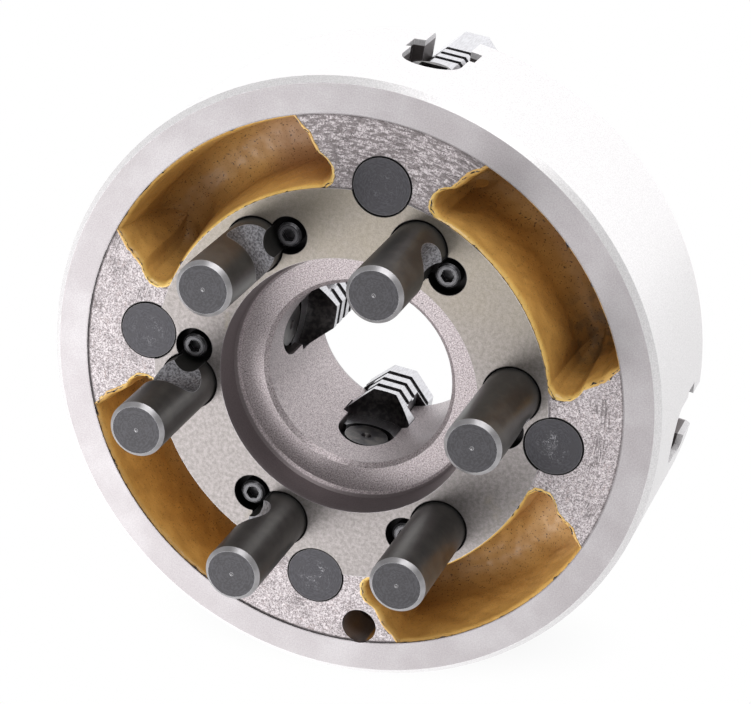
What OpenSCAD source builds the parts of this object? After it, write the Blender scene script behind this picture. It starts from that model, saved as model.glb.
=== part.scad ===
// Four-jaw independent lathe chuck for a camlock spindle nose.
// Row frame: the spindle axis is Y, the rear mounting face is y = 0, the jaws face +Y,
// jaw 1 points to +Z, and the others follow every quarter turn.

/* [Body] */
// Outside diameter of the body
body_d = 250; // [240:1:320]
// Thickness from the rear mounting face to the front face
body_t = 80; // [74:0.5:100]
// Chamfer on the rear outer edge
rear_chamfer = 2.4; // [1:0.2:4]
// Chamfer on the front outer edge
front_chamfer = 2.2; // [0.5:0.1:3]
// Width of the ground rim on the rear face, chamfer included
rim_w = 14.4; // [10:0.2:16]
// Diameter of the raised boss that seats on the spindle flange
boss_d = 162.6; // [160:0.2:180]
// Depth of the rough-turned ring between boss and rim
ring_recess = 0.8; // [0.4:0.1:2]
// Diameter of the through bore
bore_d = 76.2; // [60:0.2:80]
// Diameters of the setting rings turned in the front face
setting_rings = [120, 160, 200];

/* [Spindle taper] */
// Large diameter of the register taper at the mounting face
taper_d = 106.375; // [104:0.001:108]
// Half angle of the register taper in degrees
taper_angle = 7.125; // [5:0.125:9]
// Depth of the register recess
recess_depth = 14.3; // [11:0.1:18]
// Size of the lead chamfer from the recess floor into the bore
bore_lead = 1.9; // [1:0.1:3]

/* [Camlock studs] */
// Pitch circle of the six studs
stud_pcd = 133.35; // [130:0.05:136]
// Diameter of a stud's shank
stud_d = 22.2; // [18:0.1:23]
// How far a stud stands out of the mounting face
stud_reach = 54.2; // [48:0.1:60]
// Diameter of the thread that holds a stud in the body
stud_thread_d = 16; // [12:0.5:16]
// Length of that thread
stud_thread_l = 18; // [12:1:20]
// Depth of the clearance counterbore round a stud's foot
stud_seat_depth = 6; // [5:0.5:8]
// Radial gap between a stud and its counterbore
stud_gap = 0.7; // [0.4:0.1:0.8]
// Turn of the first stud from jaw 1, clockwise from behind
stud_offset = 16; // [14:0.5:18]
// Distance of the cam notch's centre line from the mounting face
notch_y = 17.5; // [16:0.5:20]
// Radius of the cutter that makes the cam notch
notch_r = 12.5; // [11:0.5:13]
// Depth of the cam notch
notch_depth = 8; // [5:0.2:9]
// Distance of a lock screw's axis outside its stud's shank
lock_off = 3.94; // [3.8:0.02:5]
// Distance of a lock screw inside its stud's pitch circle
lock_in = 3.6; // [2:0.1:5]
// Diameter of a lock screw's head
lock_head_d = 10; // [8:0.5:11]
// Height of a lock screw's head
lock_head_h = 6; // [4:0.5:8]
// Hexagon key size of a lock screw
lock_key = 5; // [4:0.5:5]
// Radial gap between a lock screw's head and its counterbore
lock_gap = 2.65; // [1:0.05:2.8]
// How far a lock screw's head stays below the mounting face
lock_sink = 0.3; // [0.2:0.1:1]

/* [Jaws and screws] */
// Depth of the jaw screws' axes, from the rear mounting face
screw_y = 43.3; // [42:0.1:45]
// Diameter over a jaw screw's thread
screw_d = 23.2; // [18:0.2:28]
// Depth of the thread
thread_depth = 2.5; // [2:0.1:3]
// Lead of the thread
thread_lead = 5; // [4:0.5:6]
// Diameter of the screw's neck that the thrust bearing holds
neck_d = 14; // [12:0.2:15]
// Square key size of a jaw screw
key_size = 11; // [9:0.5:11.5]
// Depth of the key socket
key_depth = 14; // [10:1:18]
// Distance from the spindle axis to a jaw's gripping face
jaw_open = 26.5; // [22:0.5:34]
// How far a jaw's outer end stays inside the body's outside diameter
jaw_inset = 6.7; // [4:0.1:12]
// Width of a jaw over its guides
jaw_w = 28; // [26:0.2:34]
// Width of a jaw's waist, between the body's guide rails
waist_w = 18.6; // [15:0.2:20]
// Width of the flat at a jaw's gripping end
nose_w = 10; // [8:0.2:12]
// Distance of the jaw guides' rear face from the screws' axes
guide_up = 10.2; // [9:0.1:11]
// Height of the jaw guides
guide_h = 11.3; // [8:0.1:14]
// Height of a jaw's lowest step above the front face
step_low = 11; // [8:0.5:16]
// Rise of each further step
step_rise = 9.5; // [6:0.5:14]
// Clearance all round a jaw in its slot
jaw_fit = 0.2; // [0.1:0.05:0.3]

/* [Thrust bearings] */
// Pitch circle of the thrust bearings' round ends
bearing_pcd = 169.4; // [167:0.2:172]
// Thickness of its fork, which fills the neck of the jaw screw
fork_t = 14; // [10:0.5:15]
// Radial gap round a thrust bearing at the rear face
bearing_gap = 0.5; // [0.3:0.05:0.7]

/* [Cored pockets] */
// Depth of the cast pockets in the rear face
pocket_depth = 40; // [25:1:42]
// Draft of the pockets' long walls in degrees
pocket_draft = 5; // [0:0.5:6]

/* [Tapped hole] */
// Diameter of the plain tapped hole beside the lowest jaw
hole_d = 14.4; // [10:0.2:15]
// Depth of that hole
hole_depth = 25; // [15:1:30]
// Distance of that hole inside the rim
hole_in = 6.8; // [4:0.2:10]

/* [Hidden] */
$fn = 96;

body_r = body_d / 2;
boss_r = boss_d / 2;
bore_r = bore_d / 2;
rim_r = body_r - rim_w;
past = 1;              // how far a cutter runs past the face it opens
reach = body_r + 10;   // longer than any radial cut needs

// Jaw slot, as depths from the mounting face
guide_y = screw_y + guide_up;
rail_y = guide_y + guide_h;
slot_half = jaw_w / 2 + jaw_fit;
waist_half = waist_w / 2 + jaw_fit;

// Jaw
jaw_half = jaw_w / 2;
nose_half = nose_w / 2;
nose_run = 9.3;                 // length of the chamfered sides at both ends
jaw_end = body_r - jaw_inset;
jaw_l = jaw_end - jaw_open;
jaw_rear = guide_y + jaw_fit;
step_y = body_t + step_low;
jaw_top = step_y + 2 * step_rise;
ledge_l = 0.28 * jaw_l;         // lowest step, at the gripping end
middle_l = 0.28 * jaw_l;        // middle step
saddle_drop = 4.7;              // how far the half nut reaches behind the guides
nose_relief_l = 13;             // length of the hollow behind the gripping end
nose_relief_r = 19.5;
tooth_w = 3.2;                  // width of a serration groove
tooth_depth = 1.4;
tooth_pitch = 7.5;
first_tooth_y = rail_y + 0.8;   // start of the first groove

// Screw and thread
screw_r = screw_d / 2;
root_r = screw_r - thread_depth;
screw_bore_r = screw_r + 0.4;
trough_r = screw_r + 0.35;      // half nut over the screw
screw_start = bore_r + 0.9;
screw_end = body_r - 4;
boss_l = 2.5;                   // plain inner end
head_l = 12;                    // plain outer end round the key socket
head_chamfer = 3.3;
crest_w = 0.3 * thread_lead;
flank_w = 0.2 * thread_lead;

// Thrust bearing
bearing_r = screw_r - 0.2;
bearing_at = bearing_pcd / 2;
neck_l = fork_t + 0.2;
neck_fit = 0.08;
bearing_relief = 3;             // depth of the open ring round it

// Studs
stud_r = stud_d / 2;
stud_chamfer = 1.5;
flute_in = 2.5;         // how far the lock screw's flute runs into the cam notch
seat_relief = 0.3;
lock_screw_r = 3;
lock_screw_l = 14;
lock_side = sqrt(pow(stud_r + lock_off, 2) - pow(lock_in, 2));
lock_bore_r = lock_head_d / 2 + lock_gap;
lock_seat = lock_head_h + lock_sink;

// Pocket ends: distance from the spindle axis, and turn from the jaw's centre line
pocket_in = boss_r;
pocket_out = rim_r;
pocket_round = 6;
pocket_end = [
    [1.02, 20.6], [0.88, 19.4], [0.76, 17.9], [0.62, 17.1], [0.48, 16.1],
    [0.38, 14.1], [0.28, 13], [0.16, 13], [0.06, 13.8], [-0.02, 16.4]
];

// Stands the model up: local z, the depth from the mounting face, becomes row +Y
module stand() {
    rotate([-90, 0, 0]) children();
}

// Turns a child from local +x to a place counted anticlockwise from behind, from row +X
module clock(angle) {
    rotate([0, 0, -angle]) children();
}

function jaw_clock(n) = n * 90;
function stud_clock(n) = 90 - stud_offset - (n - 1) * 60;

// A cylinder lying along local x
module x_rod(r, from, to) {
    translate([from, 0, 0]) rotate([0, 90, 0]) cylinder(r = r, h = to - from);
}

// ---------------------------------------------------------------- body

module body_blank() {
    floor_r = taper_d / 2 - recess_depth * tan(taper_angle);
    corner = [1.5, 2.7];
    ring = 0.6;
    rotate_extrude($fn = 180) difference() {
        polygon([
            [taper_d / 2, 0], [boss_r, 0], [boss_r, ring_recess], [rim_r, ring_recess],
            [rim_r, 0], [body_r - rear_chamfer, 0], [body_r, rear_chamfer],
            [body_r, body_t - front_chamfer], [body_r - front_chamfer, body_t],
            [bore_r + 1, body_t], [bore_r, body_t - 1],
            [bore_r, recess_depth + bore_lead], [bore_r + bore_lead, recess_depth],
            [floor_r - corner[0], recess_depth],
            [floor_r + corner[1] * tan(taper_angle), recess_depth - corner[1]]
        ]);
        for (d = setting_rings)
            translate([d / 2, body_t]) rotate(45) square(ring, center = true);
    }
}

module jaw_slot() {
    translate([0, -slot_half, guide_y])
        cube([reach, 2 * slot_half, guide_h]);
    translate([0, -waist_half, rail_y - past])
        cube([reach, 2 * waist_half, body_t]);
}

module screw_passage() {
    translate([0, 0, screw_y]) x_rod(screw_bore_r, 0, reach);
    translate([0, -screw_bore_r, screw_y])
        cube([reach, 2 * screw_bore_r, guide_y - screw_y + past]);
}

module pocket() {
    span = pocket_out - pocket_in;
    lean = tan(pocket_draft) * pocket_depth;
    intersection() {
        rotate_extrude($fn = 180) polygon([
            [pocket_in, -past], [pocket_out, -past], [pocket_out, ring_recess],
            [pocket_out - lean, pocket_depth - pocket_round],
            [pocket_out - lean - pocket_round, pocket_depth],
            [pocket_in + lean + pocket_round, pocket_depth],
            [pocket_in + lean, pocket_depth - pocket_round],
            [pocket_in, ring_recess]
        ]);
        translate([0, 0, -past]) linear_extrude(pocket_depth + 2 * past) polygon([
            for (p = pocket_end)
                (pocket_in + p[0] * span) * [cos(p[1]), sin(p[1])],
            for (i = [len(pocket_end) - 1:-1:0])
                let (p = pocket_end[i])
                    (pocket_in + p[0] * span) * [sin(p[1]), cos(p[1])],
            reach * 1.2 * [sin(pocket_end[0][1]), cos(pocket_end[0][1])],
            reach * 1.2 * [cos(pocket_end[0][1]), sin(pocket_end[0][1])]
        ]);
    }
}

module stud_hole() {
    translate([stud_pcd / 2, 0, -past]) {
        cylinder(r = stud_r + stud_gap, h = stud_seat_depth + past);
        cylinder(d = stud_thread_d, h = stud_seat_depth + stud_thread_l + 2 + past);
    }
    translate([stud_pcd / 2 - lock_in, lock_side, -past]) {
        cylinder(r = lock_bore_r, h = lock_seat + past);
        cylinder(r = lock_screw_r, h = lock_seat + lock_screw_l + 2 + past);
    }
}

module chuck_body() {
    color([0.72, 0.71, 0.72]) stand() difference() {
        body_blank();
        for (n = [0:3]) clock(jaw_clock(n)) {
            jaw_slot();
            screw_passage();
            pocket();
            translate([bearing_at, 0, -past]) {
                cylinder(r = bearing_r + bearing_gap, h = bearing_relief + past);
                cylinder(r = bearing_r, h = screw_y + past);
            }
        }
        for (n = [1:6]) clock(stud_clock(n)) stud_hole();
        clock(282) translate([rim_r - hole_in, 0, -past])
            cylinder(d = hole_d, h = hole_depth + past);
    }
}

// ---------------------------------------------------------------- jaw screw

// One stretch of thread along local x, as a row of rings at the thread's lead
module thread(from, to) {
    tooth = [
        [root_r, 0], [screw_r, flank_w], [screw_r, flank_w + crest_w],
        [root_r, 2 * flank_w + crest_w]
    ];
    rings = floor((to - from) / thread_lead);
    rotate([0, 90, 0]) rotate_extrude() polygon([
        [0, from],
        for (i = [0:rings - 1], p = tooth) [p[0], from + i * thread_lead + p[1]],
        [root_r, to], [0, to]
    ]);
}

module jaw_screw(n) {
    neck_from = bearing_at - neck_l / 2;
    neck_to = bearing_at + neck_l / 2;
    thread_from = screw_start + boss_l;
    thread_to = screw_end - head_l;
    color([0.28, 0.28, 0.29]) stand() clock(jaw_clock(n)) translate([0, 0, screw_y])
        difference() {
            union() {
                x_rod(root_r - 0.2, screw_start, thread_from + past);
                thread(thread_from, neck_from);
                x_rod(neck_d / 2, neck_from - past, neck_to + past);
                thread(neck_to, thread_to);
                x_rod(screw_r, thread_to, screw_end - head_chamfer);
                translate([screw_end - head_chamfer, 0, 0]) rotate([0, 90, 0])
                    cylinder(r1 = screw_r, r2 = screw_r - head_chamfer, h = head_chamfer);
            }
            translate([screw_end - key_depth, -key_size / 2, -key_size / 2])
                cube([key_depth + past, key_size, key_size]);
            translate([screw_start - past, 0, 0]) rotate([0, 90, 0])
                cylinder(r1 = 3, r2 = 0.6, h = 3);
        }
}

// ---------------------------------------------------------------- jaw

// Outline from above: both ends have a flat and two chamfered sides
module jaw_plan(from, to) {
    polygon([
        [from, -nose_half], [from + nose_run, -jaw_half],
        [to - nose_run, -jaw_half], [to, -nose_half],
        [to, nose_half], [to - nose_run, jaw_half],
        [from + nose_run, jaw_half], [from, nose_half]
    ]);
}

// Outline from the side: steps that rise away from the spindle axis
module jaw_side() {
    polygon([
        [jaw_open, jaw_rear], [jaw_open + nose_relief_l, jaw_rear],
        [jaw_open + nose_relief_l, jaw_rear - saddle_drop], [jaw_end, jaw_rear - saddle_drop],
        [jaw_end, jaw_top], [jaw_open + ledge_l + middle_l, jaw_top],
        [jaw_open + ledge_l + middle_l, step_y + step_rise],
        [jaw_open + ledge_l, step_y + step_rise], [jaw_open + ledge_l, step_y],
        [jaw_open, step_y]
    ]);
}

// Cross-section: half nut, guides, waist between the rails, and the part above them
module jaw_section() {
    saddle = screw_bore_r - jaw_fit;
    waist_from = rail_y - jaw_fit;
    waist_to = body_t + jaw_fit;
    waist = waist_w / 2;
    right = [
        [saddle, jaw_rear - saddle_drop], [saddle, jaw_rear], [jaw_half, jaw_rear],
        [jaw_half, waist_from], [waist, waist_from], [waist, waist_to],
        [jaw_half, waist_to], [jaw_half, jaw_top]
    ];
    polygon(concat(right, [for (i = [len(right) - 1:-1:0]) [-right[i][0], right[i][1]]]));
}

// One serration, cut across a gripping end and round onto its chamfers
module serration(at) {
    translate([0, 0, at]) linear_extrude(tooth_w) difference() {
        translate([jaw_open - past, -jaw_half - past])
            square([jaw_l + 2 * past, jaw_w + 2 * past]);
        jaw_plan(jaw_open + tooth_depth, jaw_end - tooth_depth);
        translate([jaw_open + nose_run + tooth_depth, -jaw_half - past])
            square([jaw_l - 2 * nose_run - 2 * tooth_depth, jaw_w + 2 * past]);
    }
}

module jaw(n) {
    bite = 1.2;
    bite_h = 3;
    color([0.78, 0.78, 0.8]) stand() clock(jaw_clock(n)) difference() {
        intersection() {
            translate([0, jaw_half, 0]) rotate([90, 0, 0])
                linear_extrude(jaw_w) jaw_side();
            rotate([90, 0, 90]) linear_extrude(jaw_end + past) jaw_section();
            linear_extrude(jaw_top + past) jaw_plan(jaw_open, jaw_end);
        }
        translate([0, 0, screw_y]) {
            x_rod(trough_r, 0, jaw_end + past);
            x_rod(nose_relief_r, 0, jaw_open + nose_relief_l);
        }
        for (i = [0:2]) serration(first_tooth_y + i * tooth_pitch);
        for (s = [[ledge_l, step_y], [ledge_l + middle_l, step_y + step_rise]])
            translate([jaw_open + s[0] - past, -jaw_half - past, s[1] + step_rise / 2])
                cube([past + bite, jaw_w + 2 * past, bite_h]);
    }
}

// ---------------------------------------------------------------- thrust bearing

module thrust_bearing(n) {
    fork_from = screw_y - screw_bore_r - 2;
    fork_r = trough_r - 0.65;
    slot_r = neck_d / 2 + neck_fit;
    color([0.33, 0.33, 0.34]) stand() clock(jaw_clock(n)) difference() {
        union() {
            translate([bearing_at, 0, ring_recess / 2])
                cylinder(r = bearing_r, h = fork_from - ring_recess / 2);
            intersection() {
                translate([bearing_at, 0, fork_from - past])
                    cylinder(r = bearing_r, h = 2 * screw_bore_r + 2);
                translate([bearing_at - fork_t / 2, -bearing_r, fork_from - past])
                    cube([fork_t, 2 * bearing_r, 2 * screw_bore_r + 2]);
                union() {
                    translate([0, 0, screw_y]) x_rod(fork_r, 0, reach);
                    translate([0, -bearing_r, 0]) cube([reach, 2 * bearing_r, screw_y]);
                }
            }
        }
        translate([0, 0, screw_y]) x_rod(slot_r, 0, reach);
        translate([0, -slot_r, screw_y]) cube([reach, 2 * slot_r, screw_y]);
    }
}

// ---------------------------------------------------------------- camlock studs

module cam_stud(n) {
    thread_r = stud_thread_d / 2;
    color([0.3, 0.29, 0.29]) stand() clock(stud_clock(n)) difference() {
        translate([stud_pcd / 2, 0, 0]) {
            translate([0, 0, -stud_reach + stud_chamfer])
                cylinder(r = stud_r, h = stud_reach - stud_chamfer);
            // The seat is relieved, so that only the standing length is the stud's full size
            translate([0, 0, -past]) cylinder(r = stud_r - seat_relief, h = stud_seat_depth + past);
            translate([0, 0, -stud_reach])
                cylinder(r1 = stud_r - stud_chamfer, r2 = stud_r, h = stud_chamfer);
            translate([0, 0, stud_seat_depth - past])
                cylinder(r = thread_r, h = stud_thread_l + past);
        }
        translate([0, stud_r - notch_depth + notch_r, -notch_y]) x_rod(notch_r, 0, reach);
        translate([stud_pcd / 2 - lock_in, lock_side, -notch_y + flute_in])
            cylinder(r = lock_bore_r, h = notch_y + stud_seat_depth);
        translate([stud_pcd / 2, 0, -stud_reach - past])
            cylinder(r1 = 1.6, r2 = 0.2, h = 1.6);
    }
}

module stud_lock_screw(n) {
    head_r = lock_head_d / 2;
    edge = 0.8;
    color([0.2, 0.2, 0.2]) stand() clock(stud_clock(n))
        translate([stud_pcd / 2 - lock_in, lock_side, lock_sink]) difference() {
            union() {
                cylinder(r1 = head_r - edge, r2 = head_r, h = edge);
                translate([0, 0, edge]) cylinder(r = head_r, h = lock_head_h - edge);
                cylinder(r = lock_screw_r, h = lock_head_h + lock_screw_l);
            }
            translate([0, 0, -past])
                cylinder(d = lock_key / cos(30), h = past + lock_head_h / 2, $fn = 6);
        }
}

// ---------------------------------------------------------------- assembly

chuck_body();
jaw(1);  // jaw_1
jaw(2);  // jaw_2
jaw(3);  // jaw_3
jaw(4);  // jaw_4
jaw_screw(1);  // jaw_screw_1
jaw_screw(2);  // jaw_screw_2
jaw_screw(3);  // jaw_screw_3
jaw_screw(4);  // jaw_screw_4
thrust_bearing(1);  // thrust_bearing_1
thrust_bearing(2);  // thrust_bearing_2
thrust_bearing(3);  // thrust_bearing_3
thrust_bearing(4);  // thrust_bearing_4
cam_stud(1);  // cam_stud_1
cam_stud(2);  // cam_stud_2
cam_stud(3);  // cam_stud_3
cam_stud(4);  // cam_stud_4
cam_stud(5);  // cam_stud_5
cam_stud(6);  // cam_stud_6
stud_lock_screw(1);  // stud_lock_screw_1
stud_lock_screw(2);  // stud_lock_screw_2
stud_lock_screw(3);  // stud_lock_screw_3
stud_lock_screw(4);  // stud_lock_screw_4
stud_lock_screw(5);  // stud_lock_screw_5
stud_lock_screw(6);  // stud_lock_screw_6
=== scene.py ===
"""Finish for a four-jaw lathe chuck.

Ground and turned iron, ochre paint in the cored pockets, oxide-black studs and a white stage. The frame's
Y axis is the spindle's: the rear mounting face is at y = 0 and the jaws are on +Y.
"""

import math

import bpy
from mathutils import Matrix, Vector, noise


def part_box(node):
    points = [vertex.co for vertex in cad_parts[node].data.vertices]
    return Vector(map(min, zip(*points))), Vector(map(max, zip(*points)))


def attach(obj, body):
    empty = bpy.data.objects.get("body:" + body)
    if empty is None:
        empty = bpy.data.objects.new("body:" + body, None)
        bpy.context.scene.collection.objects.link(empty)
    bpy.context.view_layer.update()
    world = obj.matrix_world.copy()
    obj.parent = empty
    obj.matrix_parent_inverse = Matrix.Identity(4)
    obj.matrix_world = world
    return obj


bl_info = {
    "name": "Lathe chuck finish",
    "version": (1, 0, 0),
    "blender": (4, 5, 0),
    "location": "View3D > Sidebar > Chuck",
    "description": "Finishes the machined parts of a lathe chuck and paints its cast pockets",
    "category": "Object",
}

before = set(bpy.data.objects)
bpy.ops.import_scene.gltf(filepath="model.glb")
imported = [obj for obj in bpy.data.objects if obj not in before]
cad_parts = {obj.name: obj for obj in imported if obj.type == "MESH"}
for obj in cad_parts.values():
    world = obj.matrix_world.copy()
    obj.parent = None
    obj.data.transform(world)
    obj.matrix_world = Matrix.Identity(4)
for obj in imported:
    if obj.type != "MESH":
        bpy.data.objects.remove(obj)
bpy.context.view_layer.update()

MM = 0.001
JAW_COUNT = 4
STUD_COUNT = 6


def linear(hex_colour):
    """Linear RGB of an sRGB hex colour."""
    values = [int(hex_colour[i:i + 2], 16) / 255 for i in (0, 2, 4)]
    return tuple(v / 12.92 if v <= 0.04045 else ((v + 0.055) / 1.055) ** 2.4 for v in values)


# ------------------------------------------------------------------ sizes, in millimetres

BODY_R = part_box("chuck_body")[1].x / MM
FACE_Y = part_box("chuck_body")[1].y / MM
RIM_W = 14.4
RIM_R = BODY_R - RIM_W
BOSS_R = 81.3
RECESS = 0.8
MOUTH_R = 53.2
BORE_R = 38.1
STUD_TIP_Y = -54.2
NOTCH_Y = -17.5
NOTCH_R = 12.5
NOTCH_OFF = 15.6            # from the stud's axis to the notch's
BEARING_HOLE_R = 12.1       # these three reach just past the holes' own walls
STUD_HOLE_R = 11.95
SCREW_HOLE_R = 7.8
POCKET_BOTTOM_Y = 41.0
SLOT_Y = 20.0
SEAT_Y = 13.4
COUNTERBORE_Y = 12.0
WALL_FOOT_R = 50.2

# A pocket's end: share of the way from boss to rim, and turn in degrees from the jaw's centre line
POCKET_END = [
    (1.02, 20.6), (0.88, 19.4), (0.76, 17.9), (0.62, 17.1), (0.48, 16.1),
    (0.38, 14.1), (0.28, 13.0), (0.16, 13.0), (0.06, 13.8), (-0.02, 16.4),
]


class ChuckSizes(bpy.types.PropertyGroup):
    """Sizes of the finish."""

    pocket_depth: bpy.props.FloatProperty(
        name="Pocket depth", description="Depth of the painted floor", default=39.2 * MM,
        min=20 * MM, max=39.4 * MM, unit="LENGTH")
    pocket_fillet: bpy.props.FloatProperty(
        name="Pocket fillet", description="Rounding between wall and floor", default=11 * MM,
        min=2 * MM, max=14 * MM, unit="LENGTH")
    paint_lap: bpy.props.FloatProperty(
        name="Paint lap", description="How far the paint runs out over the pocket's edge",
        default=0.35 * MM, min=0, max=3 * MM, unit="LENGTH")
    paint_lump: bpy.props.FloatProperty(
        name="Paint lump", description="Height of the cast lumps under the paint", default=0.9 * MM,
        min=0, max=2 * MM, unit="LENGTH")
    burr_width: bpy.props.FloatProperty(
        name="Burr width", description="Width of the cast burr round a pocket", default=1.2 * MM,
        min=0, max=3 * MM, unit="LENGTH")


def colour(name, description, default):
    return bpy.props.FloatVectorProperty(
        name=name, description=description, subtype="COLOR", size=3, min=0, max=1,
        default=linear(default))


class ChuckColours(bpy.types.PropertyGroup):
    """Colours of the finish."""

    iron: colour("Ground iron", "Freshly ground cast iron", "aaa6a8")
    patina: colour("Patina", "Old oil dried on the boss", "8f8674")
    speck: colour("Graphite", "Open grain of the cast iron", "5a5456")
    paint: colour("Pocket paint", "Ochre enamel in the cored pockets", "d0a45c")
    # paint_bright: a painted highlight along the pockets' lip, and the paint flakes on the cast burr
    paint_bright: colour("Thin paint", "Paint where it thins over an edge", "efcb74")
    # paint_shade: dark paint colour, laid in the pockets' corners as painted shade
    paint_shade: colour("Dirty paint", "Paint with dirt and oil on it", "7a5a38")
    oxide: colour("Black oxide", "Blackened steel of studs and screws", "5a5856")
    bare: colour("Bare steel", "Steel worn or ground bright", "c4c4c8")
    stage: colour("Stage", "White floor", "ffffff")


# ------------------------------------------------------------------ materials


# Node kinds with the settings that the patterns use most.
MATH_ADD = ("ShaderNodeMath", {"operation": "ADD"})
MATH_MAXIMUM = ("ShaderNodeMath", {"operation": "MAXIMUM"})
MATH_MULTIPLY = ("ShaderNodeMath", {"operation": "MULTIPLY"})
MATH_SUBTRACT = ("ShaderNodeMath", {"operation": "SUBTRACT"})
MIX_COLOUR = ("ShaderNodeMix", {"data_type": "RGBA"})
RANGE_SMOOTHSTEP = ("ShaderNodeMapRange", {"interpolation_type": "SMOOTHSTEP"})
VECTOR_DISTANCE = ("ShaderNodeVectorMath", {"operation": "DISTANCE"})
VECTOR_MULTIPLY = ("ShaderNodeVectorMath", {"operation": "MULTIPLY"})


def add(nodes, kind, settings=None, **inputs):
    """Adds a node, sets its properties, and sets or links its inputs by name or number."""
    node = nodes.new(kind)
    for name, value in (settings or {}).items():
        setattr(node, name, value)
    for key, value in inputs.items():
        numbered = key[1:].isdigit()
        socket = node.inputs[int(key[1:]) if numbered else key.replace("_", " ")]
        if isinstance(value, bpy.types.NodeSocket):
            nodes.id_data.links.new(value, socket)
        elif socket.type == "RGBA":
            socket.default_value = (*value, 1.0)[:4]
        else:
            socket.default_value = value
    return node


class Shader:
    """One material's node tree, with the few patterns that machined iron and steel share."""

    def __init__(self, name):
        self.material = bpy.data.materials.new(name)
        self.material.use_nodes = True
        self.nodes = self.material.node_tree.nodes
        self.nodes.clear()
        place = add(self.nodes, "ShaderNodeTexCoord").outputs["Object"]
        self.mm = add(
            self.nodes, "ShaderNodeVectorMath", {"operation": "SCALE"}, i0=place,
            i3=1 / MM).outputs["Vector"]
        split = add(self.nodes, "ShaderNodeSeparateXYZ", i0=self.mm)
        self.x, self.y, self.z = split.outputs
        normal = add(self.nodes, "ShaderNodeNewGeometry").outputs["True Normal"]
        self.facing = add(self.nodes, "ShaderNodeSeparateXYZ", i0=normal).outputs
        self.normal = normal

    def times(self, *values):
        """Where every one of several masks holds: their product."""
        product = values[0]
        for value in values[1:]:
            product = add(
                self.nodes, "ShaderNodeMath", {"operation": "MULTIPLY", "use_clamp": True},
                i0=product, i1=value).outputs[0]
        return product

    def grain(self, size, low, high, detail=2.0):
        """Noise cut to patches: 0 where it is under low, 1 where it is over high."""
        return add(
            self.nodes, *RANGE_SMOOTHSTEP, i0=add(
                self.nodes, "ShaderNodeTexNoise", Vector=self.mm, Scale=1 / size,
                Detail=detail, Roughness=0.55).outputs[0],
            i1=low, i2=high, i3=0.0, i4=1.0).outputs[0]

    def axis_distance(self, centre=(0.0, 0.0)):
        """Distance in the XZ plane from an axis along Y, in millimetres."""
        flat = add(self.nodes, *VECTOR_MULTIPLY, i0=self.mm, i1=(1.0, 0.0, 1.0)).outputs["Vector"]
        return add(
            self.nodes, *VECTOR_DISTANCE, i0=flat, i1=(centre[0], 0.0, centre[1])).outputs["Value"]

    def turn(self, centre=(0.0, 0.0)):
        """Angle about an axis along Y, in radians."""
        across = add(self.nodes, *MATH_SUBTRACT, i0=self.x, i1=centre[0]).outputs[0]
        up = add(self.nodes, *MATH_SUBTRACT, i0=self.z, i1=centre[1]).outputs[0]
        return add(
            self.nodes, "ShaderNodeMath", {"operation": "ARCTAN2"}, i0=up, i1=across).outputs[0]

    def tool_marks(self, radius, angle, pitch, arc):
        """Turned lines: fine across the feed, drawn out along the cut."""
        along = add(self.nodes, *MATH_MULTIPLY, i0=angle, i1=arc).outputs[0]
        place = add(self.nodes, "ShaderNodeCombineXYZ", i0=radius, i1=along, i2=self.y).outputs[0]
        return add(
            self.nodes, "ShaderNodeTexNoise", Vector=place, Scale=1 / pitch, Detail=2.0,
            Roughness=0.55).outputs[0]

    def worn_edge(self, width, low=0.02, high=0.25):
        """1 on edges and corners, fading over about width millimetres."""
        rounded = add(self.nodes, "ShaderNodeBevel", {"samples": 6}, Radius=width * MM).outputs[0]
        alike = add(
            self.nodes, "ShaderNodeVectorMath", {"operation": "DOT_PRODUCT"}, i0=rounded,
            i1=self.normal).outputs["Value"]
        return add(
            self.nodes, *RANGE_SMOOTHSTEP, i0=add(
                self.nodes, *MATH_SUBTRACT, i0=1.0, i1=alike).outputs[0],
            i1=low, i2=high, i3=0.0, i4=1.0).outputs[0]

    def hollow(self, distance):
        """1 deep in corners, 0 on open faces."""
        node = add(self.nodes, "ShaderNodeAmbientOcclusion", {"samples": 6}, Distance=distance * MM)
        return add(self.nodes, *MATH_SUBTRACT, i0=1.0, i1=node.outputs["AO"]).outputs[0]

    def finish(self, base, metallic, roughness, normal, **more):
        """Joins the surface to its colour, relief and output, and gives the material."""
        surface = add(
            self.nodes, "ShaderNodeBsdfPrincipled", Base_Color=base, Metallic=metallic,
            Roughness=roughness, Normal=normal, **more)
        add(self.nodes, "ShaderNodeOutputMaterial", Surface=surface.outputs[0])
        return self.material


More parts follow.
